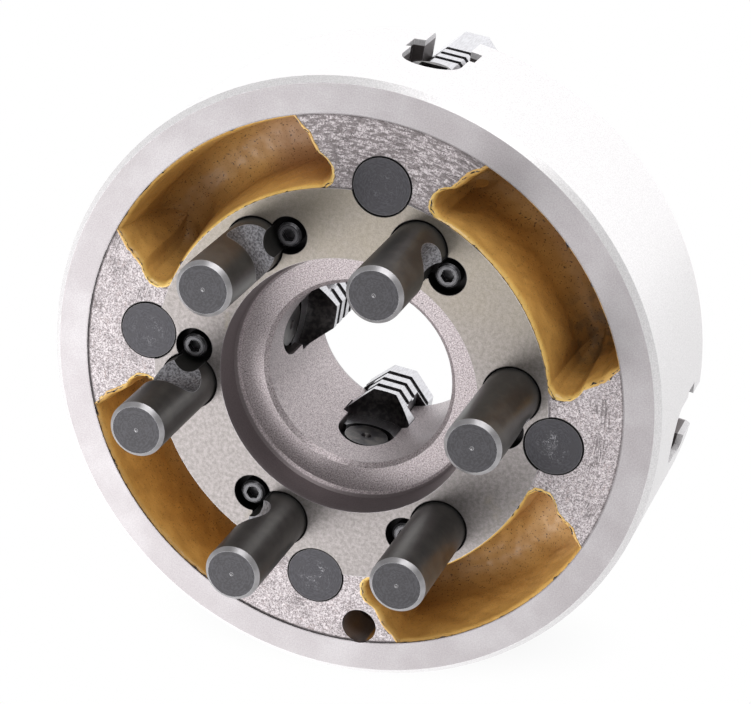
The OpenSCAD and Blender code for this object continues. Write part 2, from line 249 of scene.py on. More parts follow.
def machined_iron(colours):
    """Grey cast iron, ground on the rim, boss and rim wall, turned elsewhere: dull metal with open
    graphite grain, fine tool marks, and dried oil on the boss."""
    s = Shader("machined_iron")
    radius = s.axis_distance()
    angle = s.turn()
    rear = add(
        s.nodes, *RANGE_SMOOTHSTEP, i0=s.facing[1], i1=-0.9, i2=-0.7, i3=1.0, i4=0.0).outputs[0]
    shallow = add(s.nodes, *RANGE_SMOOTHSTEP, i0=s.y, i1=2.0, i2=4.0, i3=1.0, i4=0.0).outputs[0]
    beyond_boss = add(
        s.nodes, *RANGE_SMOOTHSTEP, i0=radius,
        i1=BOSS_R - 0.2, i2=BOSS_R + 0.2, i3=0.0, i4=1.0).outputs[0]
    within_rim = add(
        s.nodes, *RANGE_SMOOTHSTEP, i0=radius,
        i1=RIM_R - 0.2, i2=RIM_R + 0.2, i3=1.0, i4=0.0).outputs[0]
    ring = s.times(rear, shallow, beyond_boss, within_rim)
    boss = s.times(
        rear, shallow,
        add(
            s.nodes, *RANGE_SMOOTHSTEP, i0=radius,
            i1=BOSS_R - 0.2, i2=BOSS_R + 0.2, i3=1.0, i4=0.0).outputs[0])
    inside = add(
        s.nodes, *RANGE_SMOOTHSTEP, i0=radius,
        i1=MOUTH_R - 0.3, i2=MOUTH_R + 0.3, i3=1.0, i4=0.0).outputs[0]
    wall = s.times(
        inside,
        add(
            s.nodes, *RANGE_SMOOTHSTEP, i0=radius,
            i1=WALL_FOOT_R - 0.4, i2=WALL_FOOT_R + 0.4, i3=0.0, i4=1.0).outputs[0],
        add(
            s.nodes, *RANGE_SMOOTHSTEP, i0=s.y,
            i1=SEAT_Y - 0.6, i2=SEAT_Y + 0.2, i3=1.0, i4=0.0).outputs[0])
    deep = s.times(
        inside,
        add(
            s.nodes, *RANGE_SMOOTHSTEP, i0=s.y,
            i1=SEAT_Y - 0.8, i2=SEAT_Y, i3=0.0, i4=1.0).outputs[0],
        add(
            s.nodes, *RANGE_SMOOTHSTEP, i0=s.y,
            i1=FACE_Y - 2.0, i2=FACE_Y - 1.5, i3=1.0, i4=0.0).outputs[0])

    marks = s.tool_marks(radius, angle, 0.3, 5.0)
    streaks = s.tool_marks(radius, angle, 1.0, 26.0)
    blotch = add(
        s.nodes, "ShaderNodeTexNoise", Vector=s.mm, Scale=1 / 24.0, Detail=4.0,
        Roughness=0.55).outputs[0]
    fine = add(
        s.nodes, "ShaderNodeTexNoise", Vector=s.mm, Scale=1 / 0.55, Detail=3.0,
        Roughness=0.7).outputs[0]
    middling = add(
        s.nodes, "ShaderNodeTexNoise", Vector=s.mm, Scale=1 / 1.6, Detail=3.0,
        Roughness=0.55).outputs[0]

    # Ground faces: even, finely speckled, with the grinding lines just showing
    base = add(
        s.nodes, *MIX_COLOUR, i0=add(
            s.nodes, *RANGE_SMOOTHSTEP, i0=blotch, i1=0.35, i2=0.7, i3=0.0, i4=1.0).outputs[0],
        i6=linear("9f9a9c"), i7=tuple(colours.iron)).outputs[2]
    # Rough-turned ring: pinkish grey, pale and dark in fine specks, with oily streaks along the cut
    rough = add(
        s.nodes, *MIX_COLOUR, i0=add(
            s.nodes, *RANGE_SMOOTHSTEP, i0=fine, i1=0.36, i2=0.64, i3=0.0, i4=1.0).outputs[0],
        i6=linear("857c7e"), i7=linear("cdc6c8")).outputs[2]
    rough = add(
        s.nodes, *MIX_COLOUR, i0=s.times(
            add(
                s.nodes, *RANGE_SMOOTHSTEP,
                i0=streaks, i1=0.56, i2=0.72, i3=0.0, i4=1.0).outputs[0],
            0.5),
        i6=rough, i7=linear("a0918f")).outputs[2]
    rough = add(
        s.nodes, *MIX_COLOUR,
        i0=s.times(s.grain(1.1, 0.6, 0.68), 0.8), i6=rough, i7=tuple(colours.speck)).outputs[2]
    oily = s.times(
        s.grain(12.0, 0.54, 0.66, 5.0),
        add(s.nodes, *RANGE_SMOOTHSTEP, i0=marks, i1=0.42, i2=0.6, i3=0.0, i4=1.0).outputs[0])
    rough = add(
        s.nodes, *MIX_COLOUR, i0=add(s.nodes, *MATH_MULTIPLY, i0=oily, i1=0.75).outputs[0],
        i6=rough, i7=linear("585152")).outputs[2]
    stained = s.times(
        add(s.nodes, *RANGE_SMOOTHSTEP, i0=streaks, i1=0.44, i2=0.58, i3=0.0, i4=1.0).outputs[0],
        add(s.nodes, *RANGE_SMOOTHSTEP, i0=s.z, i1=64.0, i2=92.0, i3=0.0, i4=1.0).outputs[0],
        0.75)
    rough = add(s.nodes, *MIX_COLOUR, i0=stained, i6=rough, i7=linear("645d5e")).outputs[2]
    base = add(
        s.nodes, *MIX_COLOUR, i0=ring, i6=base, i7=rough).outputs[2]
    # Painted shade: a dark line along the step up to the rim
    step_line = s.times(
        add(
            s.nodes, *RANGE_SMOOTHSTEP, i0=radius,
            i1=RIM_R - 1.1, i2=RIM_R - 0.5, i3=0.0, i4=1.0).outputs[0],
        add(
            s.nodes, *RANGE_SMOOTHSTEP, i0=radius,
            i1=RIM_R + 0.1, i2=RIM_R + 0.5, i3=1.0, i4=0.0).outputs[0])
    painted_shade = s.times(
        step_line,
        add(
            s.nodes, *RANGE_SMOOTHSTEP, i0=s.y,
            i1=RECESS, i2=RECESS + 3.0, i3=1.0, i4=0.0).outputs[0],
        add(
            s.nodes, "ShaderNodeMapRange", i0=add(
                s.nodes, "ShaderNodeTexNoise", Vector=s.mm, Scale=1 / 6.0, Detail=4.0,
                Roughness=0.55).outputs[0],
            i3=0.25, i4=1.0).outputs[0])
    base = add(
        s.nodes, *MIX_COLOUR, i0=painted_shade, i6=base, i7=linear("544c4d")).outputs[2]
    # Boss: dried oil, mostly above the spindle
    plain_boss = add(
        s.nodes, *MIX_COLOUR, i0=add(
            s.nodes, *RANGE_SMOOTHSTEP, i0=middling, i1=0.3, i2=0.7, i3=0.0, i4=1.0).outputs[0],
        i6=linear("807b79"), i7=linear("979190")).outputs[2]
    base = add(s.nodes, *MIX_COLOUR, i0=boss, i6=base, i7=plain_boss).outputs[2]
    oil = s.times(
        add(s.nodes, *RANGE_SMOOTHSTEP, i0=s.z, i1=0.0, i2=70.0, i3=0.0, i4=1.0).outputs[0],
        add(
            s.nodes, "ShaderNodeMapRange", i0=add(
                s.nodes, "ShaderNodeTexNoise", Vector=s.mm, Scale=1 / 17.0, Detail=5.0,
                Roughness=0.55).outputs[0],
            i3=0.35, i4=1.0).outputs[0])
    oil = add(s.nodes, *MATH_MAXIMUM, i0=oil, i1=s.grain(19.0, 0.6, 0.78, 5.0)).outputs[0]
    base = add(
        s.nodes, *MIX_COLOUR, i0=s.times(boss, oil, 0.8),
        i6=base, i7=tuple(colours.patina)).outputs[2]
    # Taper wall, floor and bore
    base = add(s.nodes, *MIX_COLOUR, i0=wall, i6=base, i7=linear("7d7576")).outputs[2]
    speckled = add(
        s.nodes, *MIX_COLOUR, i0=add(
            s.nodes, *RANGE_SMOOTHSTEP, i0=fine, i1=0.4, i2=0.62, i3=0.0, i4=1.0).outputs[0],
        i6=linear("968c8e"), i7=linear("c6bcbe")).outputs[2]
    base = add(s.nodes, *MIX_COLOUR, i0=deep, i6=base, i7=speckled).outputs[2]
    pitted = s.times(
        add(s.nodes, *MATH_MAXIMUM, i0=ring, i1=deep).outputs[0],
        s.grain(0.6, 0.64, 0.7))
    base = add(
        s.nodes, *MIX_COLOUR, i0=pitted, i6=base, i7=linear("3b3637")).outputs[2]
    # Slot walls darker: oil, and painted shade deep inside the slots
    slot = s.times(
        add(
            s.nodes, *RANGE_SMOOTHSTEP, i0=s.y,
            i1=SLOT_Y, i2=SLOT_Y + 2.0, i3=0.0, i4=1.0).outputs[0],
        add(
            s.nodes, *RANGE_SMOOTHSTEP, i0=s.y,
            i1=FACE_Y - 1.5, i2=FACE_Y - 0.5, i3=1.0, i4=0.0).outputs[0],
        add(
            s.nodes, *RANGE_SMOOTHSTEP, i0=radius,
            i1=BODY_R - 1.0, i2=BODY_R - 0.3, i3=1.0, i4=0.0).outputs[0],
        add(
            s.nodes, *RANGE_SMOOTHSTEP, i0=radius,
            i1=BORE_R + 0.6, i2=BORE_R + 1.4, i3=0.0, i4=1.0).outputs[0])
    base = add(
        s.nodes, *MIX_COLOUR, i0=slot, i6=base, i7=linear("6a6463")).outputs[2]
    # The cored pockets are painted down to the iron
    cored = s.times(
        beyond_boss, within_rim,
        add(s.nodes, *RANGE_SMOOTHSTEP, i0=s.y, i1=1.2, i2=2.0, i3=0.0, i4=1.0).outputs[0],
        add(
            s.nodes, *RANGE_SMOOTHSTEP, i0=s.y,
            i1=POCKET_BOTTOM_Y, i2=POCKET_BOTTOM_Y + 1.0, i3=1.0, i4=0.0).outputs[0],
        add(
            s.nodes, *RANGE_SMOOTHSTEP, i0=add(
                s.nodes, "ShaderNodeMath", {"operation": "PINGPONG"}, i0=angle,
                i1=math.pi / 4).outputs[0],
            i1=0.19, i2=0.22, i3=0.0, i4=1.0).outputs[0])
    base = add(
        s.nodes, *MIX_COLOUR, i0=cored, i6=base, i7=linear("b98a48")).outputs[2]
    # The turned outside: pale iron, whitened further as a painted highlight
    outside = add(
        s.nodes, *RANGE_SMOOTHSTEP, i0=radius,
        i1=BODY_R - 2.6, i2=BODY_R - 2.3, i3=0.0, i4=1.0).outputs[0]
    base = add(s.nodes, *MIX_COLOUR, i0=outside, i6=base, i7=linear("dddbdc")).outputs[2]
    tone = add(
        s.nodes, *MATH_ADD,
        i0=add(s.nodes, "ShaderNodeMapRange", i0=marks, i3=0.93, i4=1.03).outputs[0],
        i1=add(
            s.nodes, "ShaderNodeMapRange", i0=add(
                s.nodes, *RANGE_SMOOTHSTEP, i0=fine, i1=0.36, i2=0.64, i3=0.0, i4=1.0).outputs[0],
            i3=-0.11, i4=0.09).outputs[0]).outputs[0]
    toned = add(s.nodes, "ShaderNodeVectorMath", {"operation": "SCALE"}, i0=base, i3=tone).outputs[0]
    edge = s.worn_edge(0.5)
    toned = add(
        s.nodes, *MIX_COLOUR, i0=add(s.nodes, *MATH_MULTIPLY, i0=edge, i1=0.5).outputs[0],
        i6=toned, i7=linear("dcdadd")).outputs[2]
    # Shadowed gaps and counterbores round the plugs, studs and lock screws
    bores = [(f"thrust_bearing_{n}", BEARING_HOLE_R) for n in range(1, JAW_COUNT + 1)]
    bores += [(f"cam_stud_{n}", STUD_HOLE_R) for n in range(1, STUD_COUNT + 1)]
    bores += [(f"stud_lock_screw_{n}", SCREW_HOLE_R) for n in range(1, STUD_COUNT + 1)]
    for node, reach in bores:
        within = add(
            s.nodes, *RANGE_SMOOTHSTEP,
            i0=s.axis_distance(centre_of(node)), i1=reach - 0.15, i2=reach + 0.15, i3=1.0,
            i4=0.0).outputs[0]
        toned = add(
            s.nodes, *MIX_COLOUR,
            i0=s.times(within, shallow_bore(s)), i6=toned, i7=linear("1b191a")).outputs[2]

    metallic = add(
        s.nodes, "ShaderNodeMapRange", i0=add(
            s.nodes, *MATH_MAXIMUM, i0=ring, i1=s.times(deep, 0.7)).outputs[0],
        i3=0.78, i4=0.45).outputs[0]
    metallic = s.times(
        metallic,
        add(s.nodes, "ShaderNodeMapRange", i0=cored, i3=1.0, i4=0.0).outputs[0],
        add(s.nodes, "ShaderNodeMapRange", i0=outside, i3=1.0, i4=0.4).outputs[0])
    roughness = add(s.nodes, "ShaderNodeMapRange", i0=ring, i3=0.4, i4=0.58).outputs[0]
    grit = add(
        s.nodes, *MATH_MULTIPLY, i0=add(s.nodes, *MATH_SUBTRACT, i0=fine, i1=0.5).outputs[0],
        i1=0.2).outputs[0]
    roughness = add(s.nodes, *MATH_ADD, i0=roughness, i1=grit).outputs[0]
    open_grain = s.times(
        fine,
        add(s.nodes, *MATH_MAXIMUM, i0=ring, i1=deep).outputs[0])
    relief = add(
        s.nodes, *MATH_ADD, i0=add(s.nodes, *MATH_MULTIPLY, i0=marks, i1=0.4).outputs[0],
        i1=add(s.nodes, *MATH_MULTIPLY, i0=open_grain, i1=1.2).outputs[0]).outputs[0]
    return s.finish(
        toned, metallic, roughness,
        add(s.nodes, "ShaderNodeBump", Height=relief, Distance=0.035 * MM, Strength=1.0).outputs[0])


def shallow_bore(s):
    """1 in the first millimetres behind the rear face, where the counterbores are."""
    return add(
        s.nodes, *RANGE_SMOOTHSTEP, i0=s.y,
        i1=COUNTERBORE_Y, i2=COUNTERBORE_Y + 1.0, i3=1.0, i4=0.0).outputs[0]


def pocket_paint(colours):
    """Ochre enamel brushed on rough cast walls: glossy, darkened as painted shade in the corners and
    on the dusty floor, brightened along the lip as a painted highlight, with pale, worn and dusty patches."""
    s = Shader("pocket_paint")
    lumps = add(
        s.nodes, "ShaderNodeTexNoise", Vector=s.mm, Scale=1 / 9.0, Detail=4.0,
        Roughness=0.55).outputs[0]
    flow = add(
        s.nodes, "ShaderNodeTexNoise", Vector=s.mm, Scale=1 / 2.2, Detail=3.0,
        Roughness=0.55).outputs[0]
    pits = s.grain(1.1, 0.66, 0.72)
    depth = add(s.nodes, *RANGE_SMOOTHSTEP, i0=s.y, i1=1.0, i2=40.0, i3=0.0, i4=1.0).outputs[0]
    floor = add(s.nodes, *RANGE_SMOOTHSTEP, i0=s.y, i1=24.0, i2=38.0, i3=0.0, i4=1.0).outputs[0]
    corner = s.hollow(26.0)
    base = add(
        s.nodes, *MIX_COLOUR, i0=add(
            s.nodes, *RANGE_SMOOTHSTEP, i0=lumps, i1=0.32, i2=0.68, i3=0.0, i4=1.0).outputs[0],
        i6=linear("be9350"), i7=tuple(colours.paint)).outputs[2]
    # Painted shade: paint darkened deep in the pockets' corners, where the occlusion is strong
    corner_painted_shade = s.times(
        add(s.nodes, *RANGE_SMOOTHSTEP, i0=corner, i1=0.3, i2=0.95, i3=0.0, i4=1.0).outputs[0],
        add(s.nodes, "ShaderNodeMapRange", i0=lumps, i3=0.45, i4=0.95).outputs[0])
    base = add(s.nodes, *MIX_COLOUR, i0=corner_painted_shade, i6=base, i7=tuple(colours.paint_shade)).outputs[2]
    # Floor darker: dust, and painted shade deep in the pocket
    base = add(
        s.nodes, *MIX_COLOUR, i0=s.times(
            floor,
            add(
                s.nodes, "ShaderNodeMapRange", i0=add(
                    s.nodes, "ShaderNodeTexNoise", Vector=s.mm, Scale=1 / 15.0, Detail=4.0,
                    Roughness=0.55).outputs[0],
                i3=0.1, i4=0.75).outputs[0]),
        i6=base, i7=linear("98703f")).outputs[2]
    # Painted highlight: paint brightened along the lip, most on the boss side, where the light falls
    boss_side = add(
        s.nodes, "ShaderNodeMapRange", i0=add(
            s.nodes, *RANGE_SMOOTHSTEP,
            i0=s.axis_distance(), i1=90.0, i2=102.0, i3=0.0, i4=1.0).outputs[0],
        i3=1.0, i4=0.2).outputs[0]
    painted_lip_highlight = s.times(
        add(s.nodes, *RANGE_SMOOTHSTEP, i0=s.y, i1=0.4, i2=4.0, i3=1.0, i4=0.0).outputs[0],
        add(s.nodes, "ShaderNodeMapRange", i0=flow, i3=0.35, i4=1.0).outputs[0],
        boss_side)
    base = add(s.nodes, *MIX_COLOUR, i0=painted_lip_highlight, i6=base, i7=tuple(colours.paint_bright)).outputs[2]
    dusty_at = add(s.nodes, *VECTOR_DISTANCE, i0=s.mm, i1=(-37.0, 36.0, 88.0)).outputs["Value"]
    dusty = s.times(
        add(s.nodes, *RANGE_SMOOTHSTEP, i0=dusty_at, i1=14.0, i2=36.0, i3=1.0, i4=0.0).outputs[0],
        add(s.nodes, *RANGE_SMOOTHSTEP, i0=s.y, i1=18.0, i2=32.0, i3=0.0, i4=1.0).outputs[0])
    base = add(
        s.nodes, *MIX_COLOUR, i0=add(s.nodes, *MATH_MULTIPLY, i0=dusty, i1=0.8).outputs[0],
        i6=base, i7=linear("a58262")).outputs[2]
    worn_at = add(s.nodes, *VECTOR_DISTANCE, i0=s.mm, i1=(88.0, 38.0, 36.0)).outputs["Value"]
    worn = s.times(
        add(s.nodes, *RANGE_SMOOTHSTEP, i0=worn_at, i1=8.0, i2=26.0, i3=1.0, i4=0.0).outputs[0],
        s.grain(5.0, 0.4, 0.62, 4.0),
        add(s.nodes, *RANGE_SMOOTHSTEP, i0=s.y, i1=20.0, i2=34.0, i3=0.0, i4=1.0).outputs[0])
    base = add(
        s.nodes, *MIX_COLOUR, i0=add(s.nodes, *MATH_MULTIPLY, i0=worn, i1=0.65).outputs[0],
        i6=base, i7=linear("6b5a42")).outputs[2]
    pale_at = add(s.nodes, *VECTOR_DISTANCE, i0=s.mm, i1=(92.0, 34.0, -35.0)).outputs["Value"]
    pale = s.times(
        add(s.nodes, *RANGE_SMOOTHSTEP, i0=pale_at, i1=12.0, i2=32.0, i3=1.0, i4=0.0).outputs[0],
        add(s.nodes, "ShaderNodeMapRange", i0=flow, i3=0.4, i4=0.8).outputs[0])
    base = add(s.nodes, *MIX_COLOUR, i0=pale, i6=base, i7=linear("d0ab78")).outputs[2]
    specks = s.times(
        s.grain(0.8, 0.62, 0.67),
        add(s.nodes, "ShaderNodeMapRange", i0=depth, i3=0.3, i4=0.9).outputs[0])
    base = add(s.nodes, *MIX_COLOUR, i0=specks, i6=base, i7=linear("3a2814")).outputs[2]
    relief = add(
        s.nodes, *MATH_ADD, i0=lumps, i1=add(
            s.nodes, *MATH_MULTIPLY, i0=flow, i1=0.25).outputs[0]).outputs[0]
    relief = add(
        s.nodes, *MATH_SUBTRACT, i0=relief, i1=add(
            s.nodes, *MATH_MULTIPLY, i0=pits, i1=0.15).outputs[0]).outputs[0]
    roughness = add(
        s.nodes, "ShaderNodeMapRange", i0=add(
            s.nodes, *MATH_MAXIMUM, i0=dusty, i1=floor).outputs[0],
        i3=0.32, i4=0.6).outputs[0]
    return s.finish(
        base, 0.0, roughness,
        add(s.nodes, "ShaderNodeBump", Height=relief, Distance=0.6 * MM, Strength=1.0).outputs[0],
        Coat_Weight=0.15, Coat_Roughness=0.2)


def cast_burr(colours):
    """Raw torn edge of the casting with flakes of paint on it: nearly black, rough, with grey glints."""
    s = Shader("cast_burr")
    base = add(
        s.nodes, *MIX_COLOUR, i0=s.grain(1.3, 0.45, 0.6),
        i6=linear("2c2827"), i7=linear("7c7371")).outputs[2]
    base = add(
        s.nodes, *MIX_COLOUR, i0=s.grain(3.0, 0.58, 0.64),
        i6=base, i7=tuple(colours.paint_bright)).outputs[2]
    return s.finish(
        base, 0.35, 0.6,
        add(
            s.nodes, "ShaderNodeBump", Height=add(
                s.nodes, "ShaderNodeTexNoise", Vector=s.mm, Scale=1 / 0.7, Detail=4.0,
                Roughness=0.55).outputs[0],
            Distance=0.25 * MM, Strength=1.0).outputs[0])


def black_oxide_stud(name, stud, screw, colours):
    """Blackened turned stud: neutral satin grey-black, faint rings on its tip, bright where the cam
    notch is milled and where the tip's edge has rubbed."""
    s = Shader(name)
    centre = Vector(centre_of(stud))
    radius = s.axis_distance(centre)
    angle = s.turn(centre)
    end = add(
        s.nodes, *RANGE_SMOOTHSTEP, i0=s.facing[1], i1=-0.95, i2=-0.85, i3=1.0, i4=0.0).outputs[0]
    rings = s.tool_marks(radius, angle, 0.5, 3.0)
    lengthwise = add(s.nodes, *VECTOR_MULTIPLY, i0=s.mm, i1=(0.3, 1.0, 0.3)).outputs["Vector"]
    length_marks = add(
        s.nodes, "ShaderNodeTexNoise", Vector=lengthwise, Scale=1 / 0.4, Detail=2.0,
        Roughness=0.55).outputs[0]
    smudge = add(
        s.nodes, "ShaderNodeTexNoise", Vector=s.mm, Scale=1 / 7.0, Detail=4.0,
        Roughness=0.55).outputs[0]
    base = add(
        s.nodes, *MIX_COLOUR, i0=add(
            s.nodes, *RANGE_SMOOTHSTEP, i0=smudge, i1=0.35, i2=0.7, i3=0.0, i4=1.0).outputs[0],
        i6=tuple(colours.oxide), i7=linear("666461")).outputs[2]
    base = add(
        s.nodes, *MIX_COLOUR, i0=s.times(
            add(
                s.nodes, *RANGE_SMOOTHSTEP,
                i0=length_marks, i1=0.5, i2=0.72, i3=0.0, i4=1.0).outputs[0],
            0.35),
        i6=base, i7=linear("6d6a68")).outputs[2]
    ended = add(
        s.nodes, *MIX_COLOUR, i0=add(
            s.nodes, *RANGE_SMOOTHSTEP, i0=rings, i1=0.4, i2=0.62, i3=0.0, i4=1.0).outputs[0],
        i6=linear("3d3c3e"), i7=linear("464548")).outputs[2]
    base = add(
        s.nodes, *MIX_COLOUR, i0=end, i6=base, i7=ended).outputs[2]
    # The notch is cut square across the stud, on the side of its lock screw
    outward = centre.normalized()
    across = Vector((-outward.y, outward.x))
    if across.dot(Vector(centre_of(screw)) - centre) < 0:
        across = -across
    from_centre = add(
        s.nodes, "ShaderNodeVectorMath", {"operation": "SUBTRACT"}, i0=s.mm,
        i1=(centre.x, 0.0, centre.y)).outputs["Vector"]
    sideways = add(
        s.nodes, "ShaderNodeVectorMath", {"operation": "DOT_PRODUCT"}, i0=from_centre,
        i1=(across.x, 0.0, across.y)).outputs["Value"]
    place = add(s.nodes, "ShaderNodeCombineXYZ", i0=sideways, i1=s.y).outputs[0]
    cut_from = add(
        s.nodes, *VECTOR_DISTANCE, i0=place, i1=(NOTCH_OFF, NOTCH_Y, 0.0)).outputs["Value"]
    notch = add(
        s.nodes, *RANGE_SMOOTHSTEP, i0=cut_from,
        i1=NOTCH_R + 0.1, i2=NOTCH_R + 0.25, i3=1.0, i4=0.0).outputs[0]
    milling = add(
        s.nodes, "ShaderNodeTexNoise", Vector=s.mm, Scale=1 / 0.9, Detail=3.0,
        Roughness=0.7).outputs[0]
    milled = add(
        s.nodes, *MIX_COLOUR, i0=add(
            s.nodes, *RANGE_SMOOTHSTEP, i0=milling, i1=0.36, i2=0.62, i3=0.0, i4=1.0).outputs[0],
        i6=linear("5c5a5e"), i7=linear("a09fa3")).outputs[2]
    base = add(s.nodes, *MIX_COLOUR, i0=notch, i6=base, i7=milled).outputs[2]
    tip = s.times(
        add(
            s.nodes, *RANGE_SMOOTHSTEP, i0=s.y,
            i1=STUD_TIP_Y + 1.4, i2=STUD_TIP_Y + 1.9, i3=1.0, i4=0.0).outputs[0],
        add(s.nodes, "ShaderNodeMapRange", i0=end, i3=1.0, i4=0.0).outputs[0])
    base = add(
        s.nodes, *MIX_COLOUR, i0=s.times(
            tip,
            add(
                s.nodes, "ShaderNodeMapRange", i0=add(
                    s.nodes, "ShaderNodeTexNoise", Vector=s.mm, Scale=1 / 3.0, Detail=3.0,
                    Roughness=0.55).outputs[0],
                i3=0.3, i4=1.0).outputs[0]),
        i6=base, i7=linear("b5b3b6")).outputs[2]
    edge = s.times(
        s.worn_edge(0.5, 0.01, 0.12),
        add(
            s.nodes, "ShaderNodeMapRange", i0=add(
                s.nodes, "ShaderNodeTexNoise", Vector=s.mm, Scale=1 / 1.6, Detail=3.0,
                Roughness=0.55).outputs[0],
            i3=0.4, i4=1.0).outputs[0])
    base = add(s.nodes, *MIX_COLOUR, i0=edge, i6=base, i7=tuple(colours.bare)).outputs[2]
    relief = add(
        s.nodes, *MATH_ADD, i0=s.times(rings, end, 0.5), i1=add(
            s.nodes, *MATH_MULTIPLY, i0=length_marks, i1=0.4).outputs[0]).outputs[0]
    relief = add(s.nodes, *MATH_ADD, i0=relief, i1=s.times(milling, notch)).outputs[0]
    roughness = add(
        s.nodes, *MATH_MAXIMUM,
        i0=add(s.nodes, "ShaderNodeMapRange", i0=smudge, i3=0.34, i4=0.46).outputs[0],
        i1=s.times(notch, 0.5)).outputs[0]
    return s.finish(
        base, 0.85, roughness,
        add(s.nodes, "ShaderNodeBump", Height=relief, Distance=0.03 * MM, Strength=1.0).outputs[0])


def black_oxide_screw(name, screw, colours):
    """Blackened socket-head screw: black, with a ring rubbed bright round the hexagon."""
    s = Shader(name)
    radius = s.axis_distance(centre_of(screw))
    end = add(
        s.nodes, *RANGE_SMOOTHSTEP, i0=s.facing[1], i1=-0.95, i2=-0.85, i3=1.0, i4=0.0).outputs[0]
    ring = s.times(
        add(s.nodes, *RANGE_SMOOTHSTEP, i0=radius, i1=2.7, i2=3.0, i3=0.0, i4=1.0).outputs[0],
        add(s.nodes, *RANGE_SMOOTHSTEP, i0=radius, i1=3.5, i2=3.9, i3=1.0, i4=0.0).outputs[0],
        end)
    base = add(
        s.nodes, *MIX_COLOUR, i0=s.grain(1.5, 0.4, 0.65),
        i6=linear("2e2d2f"), i7=linear("454446")).outputs[2]
    base = add(
        s.nodes, *MIX_COLOUR, i0=s.times(
            ring,
            add(
                s.nodes, "ShaderNodeMapRange", i0=add(
                    s.nodes, "ShaderNodeTexNoise", Vector=s.mm, Scale=1 / 1.2, Detail=3.0,
                    Roughness=0.55).outputs[0],
                i3=0.4, i4=1.0).outputs[0]),
        i6=base, i7=linear("6f6e71")).outputs[2]
    edge = s.times(
        s.worn_edge(0.3, 0.01, 0.12),
        add(
            s.nodes, "ShaderNodeMapRange", i0=add(
                s.nodes, "ShaderNodeTexNoise", Vector=s.mm, Scale=1 / 1.6, Detail=3.0,
                Roughness=0.55).outputs[0],
            i3=0.2, i4=0.8).outputs[0])
    base = add(s.nodes, *MIX_COLOUR, i0=edge, i6=base, i7=tuple(colours.bare)).outputs[2]
    return s.finish(
        base, 0.8, 0.38,
        add(
            s.nodes, "ShaderNodeBump", Height=add(
                s.nodes, "ShaderNodeTexNoise", Vector=s.mm, Scale=1 / 0.5, Detail=3.0,
                Roughness=0.55).outputs[0],
            Distance=0.02 * MM, Strength=1.0).outputs[0])


def turned_plug(name, centre, scuff):
    """Turned steel plug, darkened with oil: faint concentric lines, and pale arcs where it is scuffed."""
    s = Shader(name)
    radius = s.axis_distance(centre)
    angle = s.turn(centre)
    rings = s.tool_marks(radius, angle, 0.5, 3.0)
    base = add(
        s.nodes, *MIX_COLOUR, i0=add(
            s.nodes, *RANGE_SMOOTHSTEP, i0=rings, i1=0.35, i2=0.68, i3=0.0, i4=1.0).outputs[0],
        i6=linear("3b3a3d"), i7=linear("47464a")).outputs[2]
    base = add(
        s.nodes, *MIX_COLOUR, i0=s.grain(5.0, 0.45, 0.7, 4.0),
        i6=base, i7=linear("403f42")).outputs[2]
    arcs = s.tool_marks(radius, angle, 0.7, 6.0)
    rub = s.times(
        add(s.nodes, *RANGE_SMOOTHSTEP, i0=arcs, i1=0.5, i2=0.64, i3=0.0, i4=1.0).outputs[0],
        s.grain(4.5, 0.46, 0.62, 4.0),
        add(s.nodes, *RANGE_SMOOTHSTEP, i0=radius, i1=3.0, i2=8.5, i3=1.0, i4=0.0).outputs[0],
        scuff)
    base = add(s.nodes, *MIX_COLOUR, i0=rub, i6=base, i7=linear("8f8e92")).outputs[2]
    edge = s.worn_edge(0.4)
    base = add(
        s.nodes, *MIX_COLOUR, i0=add(s.nodes, *MATH_MULTIPLY, i0=edge, i1=0.5).outputs[0],
        i6=base, i7=linear("8f8c8c")).outputs[2]
    return s.finish(
        base, 0.85,
        add(s.nodes, "ShaderNodeMapRange", i0=rings, i3=0.38, i4=0.5).outputs[0],
        add(s.nodes, "ShaderNodeBump", Height=rings, Distance=0.02 * MM, Strength=1.0).outputs[0])


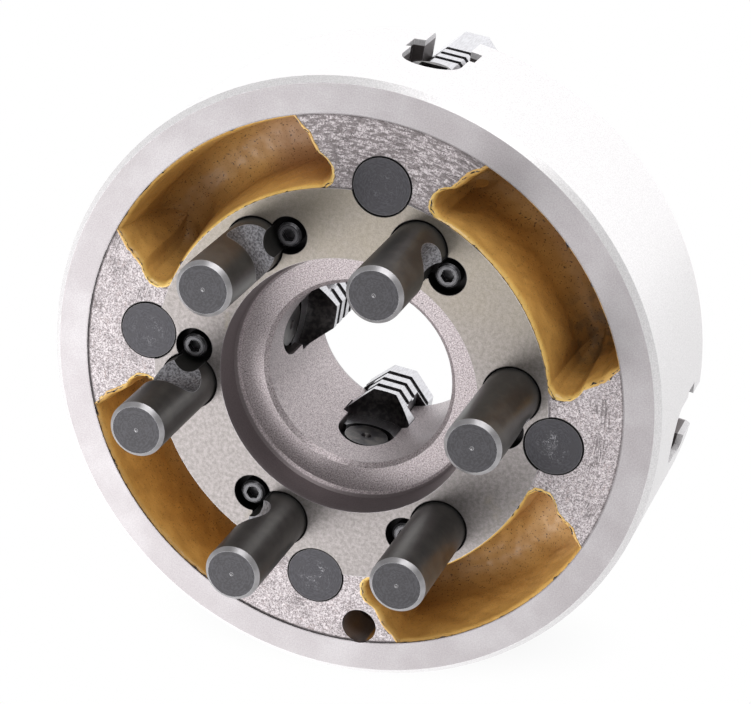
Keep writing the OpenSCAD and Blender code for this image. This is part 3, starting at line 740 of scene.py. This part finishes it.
def ground_jaw(colours):
    """Hardened jaw: oxide-dark where the heat treatment is left, bright on the ground flats."""
    s = Shader("ground_jaw")
    rearward = add(
        s.nodes, *RANGE_SMOOTHSTEP, i0=s.facing[1], i1=-0.8, i2=-0.5, i3=1.0, i4=0.0).outputs[0]
    slope = s.times(
        add(
            s.nodes, *RANGE_SMOOTHSTEP, i0=add(
                s.nodes, "ShaderNodeMath", {"operation": "ABSOLUTE"}, i0=s.facing[1]).outputs[0],
            i1=0.2, i2=0.5, i3=1.0, i4=0.0).outputs[0],
        1.0)
    lines = add(
        s.nodes, "ShaderNodeTexNoise", Vector=add(
            s.nodes, *VECTOR_MULTIPLY, i0=s.mm, i1=(1.0, 0.1, 1.0)).outputs["Vector"],
        Scale=1 / 0.4, Detail=2.0, Roughness=0.55).outputs[0]
    bright = add(
        s.nodes, *MIX_COLOUR, i0=add(
            s.nodes, *RANGE_SMOOTHSTEP, i0=lines, i1=0.35, i2=0.65, i3=0.0, i4=1.0).outputs[0],
        i6=linear("aeadb1"), i7=tuple(colours.bare)).outputs[2]
    dark = add(
        s.nodes, *MIX_COLOUR, i0=s.grain(2.0, 0.4, 0.65, 4.0),
        i6=linear("3a3839"), i7=linear("5b5857")).outputs[2]
    base = add(s.nodes, *MIX_COLOUR, i0=rearward, i6=bright, i7=dark).outputs[2]
    # Painted shade: the serration grooves blackened where they are deep
    groove = add(
        s.nodes, *RANGE_SMOOTHSTEP, i0=s.hollow(2.5), i1=0.3, i2=0.6, i3=0.0, i4=1.0).outputs[0]
    base = add(
        s.nodes, *MIX_COLOUR, i0=s.times(groove, slope), i6=base, i7=linear("121212")).outputs[2]
    edge = s.worn_edge(0.35)
    base = add(
        s.nodes, *MIX_COLOUR, i0=add(s.nodes, *MATH_MULTIPLY, i0=edge, i1=0.6).outputs[0],
        i6=base, i7=linear("dddde0")).outputs[2]
    return s.finish(
        base, 0.9,
        add(s.nodes, "ShaderNodeMapRange", i0=lines, i3=0.26, i4=0.4).outputs[0],
        add(s.nodes, "ShaderNodeBump", Height=lines, Distance=0.02 * MM, Strength=1.0).outputs[0])


def oiled_screw(name):
    """Jaw screw: dark, oily turned steel, brighter on the thread's crests and the key socket."""
    s = Shader(name)
    smudge = add(
        s.nodes, "ShaderNodeTexNoise", Vector=s.mm, Scale=1 / 4.0, Detail=4.0,
        Roughness=0.55).outputs[0]
    base = add(
        s.nodes, *MIX_COLOUR, i0=add(
            s.nodes, *RANGE_SMOOTHSTEP, i0=smudge, i1=0.35, i2=0.65, i3=0.0, i4=1.0).outputs[0],
        i6=linear("38363a"), i7=linear("5d5a58")).outputs[2]
    edge = s.worn_edge(0.5)
    base = add(
        s.nodes, *MIX_COLOUR, i0=add(s.nodes, *MATH_MULTIPLY, i0=edge, i1=0.7).outputs[0],
        i6=base, i7=linear("a9a8aa")).outputs[2]
    return s.finish(
        base, 0.9,
        add(s.nodes, "ShaderNodeMapRange", i0=smudge, i3=0.28, i4=0.42).outputs[0],
        add(
            s.nodes, "ShaderNodeBump", Height=add(
                s.nodes, "ShaderNodeTexNoise", Vector=s.mm, Scale=1 / 0.5, Detail=3.0,
                Roughness=0.55).outputs[0],
            Distance=0.03 * MM, Strength=1.0).outputs[0])


def centre_of(node):
    low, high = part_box(node)
    return ((low.x + high.x) / 2 / MM, (low.z + high.z) / 2 / MM)


def cover(node, material):
    """Gives a CAD node one material all over."""
    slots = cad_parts[node].material_slots
    if not slots:
        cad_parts[node].data.materials.append(material)
    for entry in slots:
        entry.material = material


# ------------------------------------------------------------------ painted pockets


def pocket_outline(count):
    """Closed outline of the pocket beside jaw 4, as (radius, turn) pairs, turn clockwise from behind."""
    span = RIM_R - BOSS_R
    end = [(BOSS_R + share * span, turn) for share, turn in POCKET_END]
    corners = end + [(r, 90 - turn) for r, turn in reversed(end)]
    points = []
    for (r0, t0), (r1, t1) in zip(corners, corners[1:] + corners[:1]):
        pieces = max(1, round(math.hypot(r1 - r0, math.radians(t1 - t0) * (r0 + r1) / 2)))
        points += [(r0 + (r1 - r0) * i / pieces, t0 + (t1 - t0) * i / pieces) for i in range(pieces)]
    step = len(points) / count
    spread = []
    for k in range(count):
        i = int(k * step)
        f = k * step - i
        a = points[i]
        b = points[(i + 1) % len(points)]
        spread.append((a[0] + (b[0] - a[0]) * f, a[1] + (b[1] - a[1]) * f))
    return spread


def spine_point(turn):
    """Nearest point of the arc along the pocket's middle."""
    return ((BOSS_R + RIM_R) / 2, min(max(turn, 23.0), 67.0))


def flat(radius, turn):
    a = math.radians(turn)
    return Vector((radius * math.cos(a), radius * math.sin(a)))


def ragged(point, size, seed):
    """Smooth noise between -1 and 1 with lumps of size millimetres."""
    place = Vector((point.x, point.y, 0.0)) / size + Vector((seed, seed * 0.7, seed * 1.3))
    return noise.noise(place)


def loft_pocket(name, quarter, rows, wobble, seed):
    """Lofts closed rings down a pocket. Each row is (inset, depth) in millimetres, and an inset above
    1000 is a share of the way to the spine. Returns the object, in the row's frame."""
    around = 420
    bpy.ops.object.select_all(action="DESELECT")
    bpy.ops.mesh.primitive_grid_add(x_subdivisions=around, y_subdivisions=len(rows) - 1, size=1)
    piece = bpy.context.object
    piece.name = name
    outline = pocket_outline(around)
    turned = math.radians(90 * quarter)
    columns = around + 1
    for index, vertex in enumerate(piece.data.vertices):
        row, column = divmod(index, columns)
        inset, depth = rows[row]
        r, t = outline[column % around]
        edge = flat(r, t)
        middle = flat(*spine_point(t))
        way = middle - edge
        length = way.length
        share = inset - 1000 if inset > 1000 else min(inset / length, 0.96)
        inset, depth = wobble(edge + way * share, inset, depth, row, seed)
        share = inset - 1000 if inset > 1000 else min(inset / length, 0.96)
        place = edge + way * share
        x = place.x * math.cos(turned) + place.y * math.sin(turned)
        z = place.x * math.sin(turned) - place.y * math.cos(turned)
        vertex.co = Vector((x, depth, z)) * MM
    bpy.ops.object.mode_set(mode="EDIT")
    bpy.ops.mesh.select_all(action="SELECT")
    bpy.ops.mesh.remove_doubles(threshold=0.02 * MM)
    bpy.ops.mesh.normals_make_consistent(inside=False)
    bpy.ops.object.mode_set(mode="OBJECT")
    bpy.ops.object.shade_smooth()
    return piece


def face_rear(piece):
    """Turns an open shell so that its open side is its outside."""
    low = min(piece.data.polygons, key=lambda p: -p.center.y)
    if low.normal.y > 0:
        piece.data.flip_normals()


class CHUCK_OT_paint_pockets(bpy.types.Operator):
    """Lines each cast pocket with lumpy paint that laps ragged over its edge"""

    bl_idname = "chuck.paint_pockets"
    bl_label = "Paint pockets"

    def execute(self, context):
        sizes = context.scene.chuck_sizes
        material = pocket_paint(context.scene.chuck_colours)
        depth = sizes.pocket_depth / MM
        fillet = sizes.pocket_fillet / MM
        lap = sizes.paint_lap / MM
        lump = sizes.paint_lump / MM
        draft = math.tan(math.radians(6))
        rows = [(-lap, RECESS - 0.03), (-lap * 0.5, RECESS - 0.2)]
        rows += [(0.5, RECESS - 0.05), (1.1, RECESS + 0.8)]
        wall_end = depth - fillet
        wall = 16
        rows += [(1.2 + draft * d, d) for d in (2 + (wall_end - 2) * i / wall for i in range(wall + 1))]
        bend = 10
        inset_at = 1.2 + draft * wall_end
        for i in range(1, bend + 1):
            a = math.pi / 2 * i / bend
            rows.append((inset_at + (fillet - 2.5) * (1 - math.cos(a)), wall_end + fillet * math.sin(a)))
        rows += [(1000 + share, depth) for share in (0.9, 0.94, 0.97, 1.0)]

        def wobble(place, inset, down, row, seed):
            if row < 3:
                shift = 0.45 * ragged(place, 5.0, seed) + 0.4 * ragged(place, 1.5, seed + 5)
                return inset + min(shift, 0.3), down
            below = Vector((place.x + 0.9 * down, place.y - 0.7 * down))
            big = ragged(below, 13.0, seed + 9)
            small = ragged(below, 4.0, seed + 17)
            push = lump * (0.75 * big + 0.35 * small + 0.45)
            if inset > 1000:
                return inset, down - max(0.0, push)
            rise = max(0.0, push) * max(0.0, down - wall_end) / fillet
            return inset + max(0.0, push) * min(1.0, down / 6), down - rise

        for quarter in range(JAW_COUNT):
            piece = loft_pocket(f"pocket_paint_{quarter + 1}", quarter, rows, wobble, 3.0 + 11.0 * quarter)
            face_rear(piece)
            piece.data.materials.append(material)
            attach(piece, "body")
        return {"FINISHED"}


class CHUCK_OT_raise_burrs(bpy.types.Operator):
    """Raises the torn edge that the cores leave round each pocket"""

    bl_idname = "chuck.raise_burrs"
    bl_label = "Raise burrs"

    def execute(self, context):
        material = cast_burr(context.scene.chuck_colours)
        width = context.scene.chuck_sizes.burr_width / MM
        rows = [(-width, RECESS + 0.3), (-width * 0.7, RECESS - 0.12), (-width * 0.2, RECESS - 0.15)]
        rows += [(0.4, RECESS + 0.05), (1.0, RECESS + 1.2)]

        def wobble(place, inset, down, row, seed):
            torn = 1.0 * ragged(place, 2.0, seed) + 0.9 * ragged(place, 6.5, seed + 3)
            if row < 3:
                return inset + 0.75 + torn * 0.9, down + 0.3 * ragged(place, 1.1, seed + 7) + 0.1
            return inset, down

        for quarter in range(JAW_COUNT):
            piece = loft_pocket(f"pocket_burr_{quarter + 1}", quarter, rows, wobble, 40.0 + 7.0 * quarter)
            face_rear(piece)
            piece.data.materials.append(material)
            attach(piece, "body")
        return {"FINISHED"}


class CHUCK_OT_finish_iron(bpy.types.Operator):
    """Gives the body its ground and turned iron"""

    bl_idname = "chuck.finish_iron"
    bl_label = "Finish body"

    def execute(self, context):
        cover("chuck_body", machined_iron(context.scene.chuck_colours))
        return {"FINISHED"}


class CHUCK_OT_finish_steel(bpy.types.Operator):
    """Gives studs, lock screws, thrust bearings, jaw screws and jaws their finishes"""

    bl_idname = "chuck.finish_steel"
    bl_label = "Finish steel parts"

    def execute(self, context):
        colours = context.scene.chuck_colours
        for n in range(1, STUD_COUNT + 1):
            stud = f"cam_stud_{n}"
            screw = f"stud_lock_screw_{n}"
            cover(stud, black_oxide_stud(f"black_oxide_stud_{n}", stud, screw, colours))
            cover(screw, black_oxide_screw(f"black_oxide_screw_{n}", screw, colours))
        jaw_finish = ground_jaw(colours)
        screw_finish = oiled_screw("oiled_screw")
        scuffs = {1: 0.2, 2: 0.3, 3: 0.8, 4: 0.7}
        for n in range(1, JAW_COUNT + 1):
            plug = f"thrust_bearing_{n}"
            cover(plug, turned_plug(f"turned_plug_{n}", centre_of(plug), scuffs[n]))
            cover(f"jaw_{n}", jaw_finish)
            cover(f"jaw_screw_{n}", screw_finish)
        return {"FINISHED"}


# ------------------------------------------------------------------ stage


STAGE_TURN = 10.44          # degrees between jaw 1 and straight up, as the chuck stands
CAMERA_AT = (239.7, -902.3, 428.8)
CAMERA_TURN = (65.883, -9.103, 18.403)
CAMERA_LENS = 125.89
FRONT_LIGHT = 0.4           # strength of the white world before and behind the chuck
BACK_LIGHT = 1.6
SHADE_ACROSS = 0.11         # half widths, in metres, of the shade under the chuck
SHADE_ALONG = 0.055


def white_floor(colours):
    """Glowing white sweep: pure white to the eye, with a faint painted shadow where the chuck stands."""
    material = bpy.data.materials.new("white_floor")
    material.use_nodes = True
    nodes = material.node_tree.nodes
    nodes.clear()
    place = add(nodes, "ShaderNodeTexCoord").outputs["Object"]
    away = add(nodes, *VECTOR_MULTIPLY, i0=place, i1=(1 / SHADE_ACROSS, 1 / SHADE_ALONG, 0.0))
    far = add(nodes, "ShaderNodeVectorMath", {"operation": "LENGTH"}, i0=away.outputs[0])
    shade = add(nodes, *RANGE_SMOOTHSTEP, i0=far.outputs["Value"], i1=0.0, i2=1.0, i3=0.86, i4=1.0)
    glow = add(nodes, "ShaderNodeEmission", Color=tuple(colours.stage), Strength=shade.outputs[0])
    add(nodes, "ShaderNodeOutputMaterial", Surface=glow.outputs[0])
    return material


def light_room():
    """World: white to the eye, bright behind the chuck and dim in front of it."""
    world = bpy.data.worlds.new("studio")
    bpy.context.scene.world = world
    world.use_nodes = True
    nodes = world.node_tree.nodes
    nodes.clear()
    ray = add(nodes, "ShaderNodeLightPath").outputs["Is Camera Ray"]
    way = add(nodes, "ShaderNodeTexCoord").outputs["Generated"]
    parts = add(nodes, "ShaderNodeSeparateXYZ", i0=way)
    behind = add(
        nodes, *RANGE_SMOOTHSTEP, i0=parts.outputs[1],
        i1=-0.15, i2=0.5, i3=FRONT_LIGHT, i4=BACK_LIGHT)
    power = add(
        nodes, "ShaderNodeMix", {"data_type": "FLOAT"}, i0=ray, i2=behind.outputs[0], i3=1.0)
    glow = add(nodes, "ShaderNodeBackground", Color=(1.0, 1.0, 1.0), Strength=power.outputs[0])
    add(nodes, "ShaderNodeOutputWorld", Surface=glow.outputs[0])


def add_softbox(name, place, size, power, colour=(1.0, 1.0, 1.0)):
    """Square light at a place in metres, turned to the middle of the chuck."""
    aim = Vector((0.0, 0.03, 0.0)) - Vector(place)
    bpy.ops.object.light_add(type="AREA", location=place, rotation=aim.to_track_quat("-Z", "Y").to_euler())
    light = bpy.context.object
    light.name = name
    light.data.shape = "RECTANGLE"
    light.data.size, light.data.size_y = size
    light.data.energy = power
    light.data.color = colour
    light.visible_camera = False
    return light


class CHUCK_OT_set_stage(bpy.types.Operator):
    """Sets the white floor, the lights and the camera"""

    bl_idname = "chuck.set_stage"
    bl_label = "Set stage"

    def execute(self, context):
        turn = math.radians(STAGE_TURN)
        down = Vector((math.sin(turn), 0.0, -math.cos(turn)))
        foot = down * (BODY_R + 0.3) * MM
        bpy.ops.object.select_all(action="DESELECT")
        bpy.ops.mesh.primitive_plane_add(
            size=3.0, location=(foot.x, 0.05, foot.z), rotation=(0.0, -turn, 0.0))
        floor = context.object
        floor.name = "floor"
        floor.data.materials.append(white_floor(context.scene.chuck_colours))
        floor.visible_shadow = False
        light_room()
        add_softbox("key_low_left", (-0.8, -1.0, -0.8), (0.8, 0.8), 20)
        add_softbox("fill_top", (0.2, -0.6, 1.3), (1.0, 0.6), 9)
        bpy.ops.object.camera_add(
            location=Vector(CAMERA_AT) * MM, rotation=[math.radians(a) for a in CAMERA_TURN])
        camera = context.object
        camera.data.lens = CAMERA_LENS
        camera.data.sensor_width = 36.0
        camera.data.clip_end = 20.0
        context.scene.camera = camera
        context.scene.view_settings.view_transform = "Standard"
        context.scene.cycles.max_bounces = 8
        return {"FINISHED"}


class CHUCK_PT_panel(bpy.types.Panel):
    bl_idname = "CHUCK_PT_panel"
    bl_label = "Chuck finish"
    bl_space_type = "VIEW_3D"
    bl_region_type = "UI"
    bl_category = "Chuck"

    def draw(self, context):
        for group in (context.scene.chuck_sizes, context.scene.chuck_colours):
            for name in group.__annotations__:
                self.layout.prop(group, name)
        for step in STEPS:
            self.layout.operator(step.bl_idname)


STEPS = (
    CHUCK_OT_finish_iron,
    CHUCK_OT_finish_steel,
    CHUCK_OT_raise_burrs,
    CHUCK_OT_paint_pockets,
    CHUCK_OT_set_stage,
)
CLASSES = (ChuckSizes, ChuckColours, *STEPS, CHUCK_PT_panel)


def register():
    for each in CLASSES:
        bpy.utils.register_class(each)
    bpy.types.Scene.chuck_sizes = bpy.props.PointerProperty(type=ChuckSizes)
    bpy.types.Scene.chuck_colours = bpy.props.PointerProperty(type=ChuckColours)


def unregister():
    del bpy.types.Scene.chuck_colours
    del bpy.types.Scene.chuck_sizes
    for each in reversed(CLASSES):
        bpy.utils.unregister_class(each)


def main():
    register()
    bpy.ops.chuck.finish_iron()
    bpy.ops.chuck.finish_steel()
    bpy.ops.chuck.raise_burrs()
    bpy.ops.chuck.paint_pockets()
    bpy.ops.chuck.set_stage()


if __name__ == "__main__":
    main()
